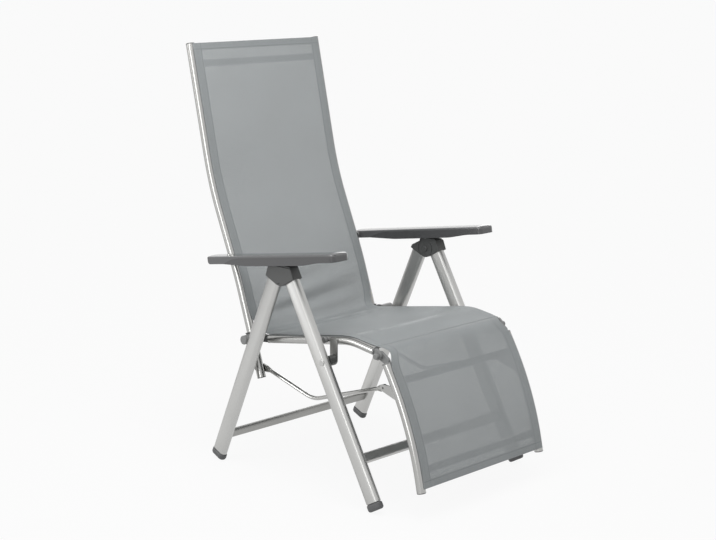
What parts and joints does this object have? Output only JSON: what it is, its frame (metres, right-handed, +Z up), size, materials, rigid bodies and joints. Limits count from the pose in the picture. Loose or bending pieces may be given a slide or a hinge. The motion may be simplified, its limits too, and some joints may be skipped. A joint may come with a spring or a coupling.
{
  "type": "reclining garden armchair",
  "caption": "Folding garden armchair with a reclining back, a linked leg rest and a stretched mesh cloth.",
  "frame": {"origin": "on the floor, under the middle of the chair's outer size", "axes": "+Z up, the chair faces -Y, +X is the sitter's left"},
  "size_m": [0.625, 0.9028, 1.1546],
  "materials": {
    "leg_silver": "satin",
    "tube_silver": "satin",
    "steel": "satin",
    "dark_plastic": "satin",
    "arm_plastic": "satin",
    "grey_cloth": "fine open weave"
  },
  "bodies": {
    "front_frame": {"front_leg_left": "leg_silver", "front_leg_right": "leg_silver", "front_leg_crossbar": "leg_silver", "front_feet": "dark_plastic", "front_leg_head_left": "dark_plastic", "front_leg_head_right": "dark_plastic", "hub_plate_left": "dark_plastic", "hub_plate_right": "dark_plastic", "hub_bolts": "steel", "lock_pins": "steel", "seat_pivot_bolts": "steel", "seat_pivot_bushes": "dark_plastic"},
    "rear_frame": {"rear_leg_left": "leg_silver", "rear_leg_right": "leg_silver", "rear_leg_crossbar": "leg_silver", "rear_feet": "dark_plastic", "rear_leg_head_left": "dark_plastic", "rear_leg_head_right": "dark_plastic"},
    "seat_frame": {"seat_rail_left": "tube_silver", "seat_rail_right": "tube_silver", "seat_bracket_left": "steel", "seat_bracket_right": "steel", "rail_end_fitting_left": "dark_plastic", "rail_end_fitting_right": "dark_plastic", "knee_socket_left": "dark_plastic", "knee_socket_right": "dark_plastic", "rail_spacers": "dark_plastic", "seat_sling": "grey_cloth", "back_pivot_bolts": "steel", "stop_knobs": "dark_plastic", "knee_bolts": "dark_plastic"},
    "back_frame": {"back_tube_left": "tube_silver", "back_tube_right": "tube_silver", "back_crossbar": "tube_silver", "back_caps": "dark_plastic", "back_bracket_left": "dark_plastic", "back_bracket_right": "dark_plastic", "back_sling": "grey_cloth", "rod_rear_bolts": "steel"},
    "arm_pivots": {"arm_pivot_bolts": "steel", "arm_pivot_bushes": "dark_plastic"},
    "armrest_left": {"armrest_cover_left": "arm_plastic", "armrest_base_left": "arm_plastic", "armrest_rack_left": "dark_plastic"},
    "armrest_right": {"armrest_cover_right": "arm_plastic", "armrest_base_right": "arm_plastic", "armrest_rack_right": "dark_plastic"},
    "legrest_frame": {"legrest_tube_left": "tube_silver", "legrest_tube_right": "tube_silver", "legrest_upper_crossbar": "tube_silver", "legrest_lower_crossbar": "tube_silver", "legrest_caps": "dark_plastic", "knee_plug_left": "dark_plastic", "knee_plug_right": "dark_plastic", "rod_lug_left": "steel", "rod_lug_right": "steel", "rod_front_bolts": "steel", "legrest_sling": "grey_cloth"},
    "link_rods": {"link_rod_left": "tube_silver", "link_rod_right": "tube_silver"}
  },
  "joints": [
    {"name": "rear_fold", "type": "hinge", "parent": "front_frame", "child": "rear_frame", "pos_m": [0, 0.01453, 0.566], "axis": [-1, 0, 0], "range_deg": [0, 52]},
    {"name": "seat_tilt", "type": "hinge", "parent": "front_frame", "child": "seat_frame", "pos_m": [0, -0.14047, 0.363], "axis": [1, 0, 0], "range_deg": [0, 12]},
    {"name": "recline", "type": "hinge", "parent": "seat_frame", "child": "back_frame", "pos_m": [0, 0.17253, 0.366], "axis": [-1, 0, 0], "range_deg": [0, 50]},
    {"name": "arm_recline", "type": "hinge", "parent": "back_frame", "child": "arm_pivots", "pos_m": [0, 0.2737, 0.577], "axis": [1, 0, 0], "range_deg": [0, 32.25]},
    {"name": "lift_left", "type": "hinge", "parent": "arm_pivots", "child": "armrest_left", "pos_m": [0, 0.2737, 0.577], "axis": [-1, 0, 0], "range_deg": [0, 95]},
    {"name": "lift_right", "type": "hinge", "parent": "arm_pivots", "child": "armrest_right", "pos_m": [0, 0.2737, 0.577], "axis": [-1, 0, 0], "range_deg": [0, 95]},
    {"name": "knee_recline", "type": "hinge", "parent": "seat_frame", "child": "legrest_frame", "pos_m": [0, -0.29247, 0.4], "axis": [-1, 0, 0], "range_deg": [0, 50.5]},
    {"name": "rod_recline", "type": "hinge", "parent": "back_frame", "child": "link_rods", "pos_m": [0, 0.16863, 0.28], "axis": [1, 0, 0], "range_deg": [0, 50.5]}
  ],
  "couplings": [
    {"joint": "arm_recline", "follows": "recline", "ratio": 0.635},
    {"joint": "knee_recline", "follows": "recline", "ratio": 1},
    {"joint": "rod_recline", "follows": "recline", "ratio": 1}
  ]
}
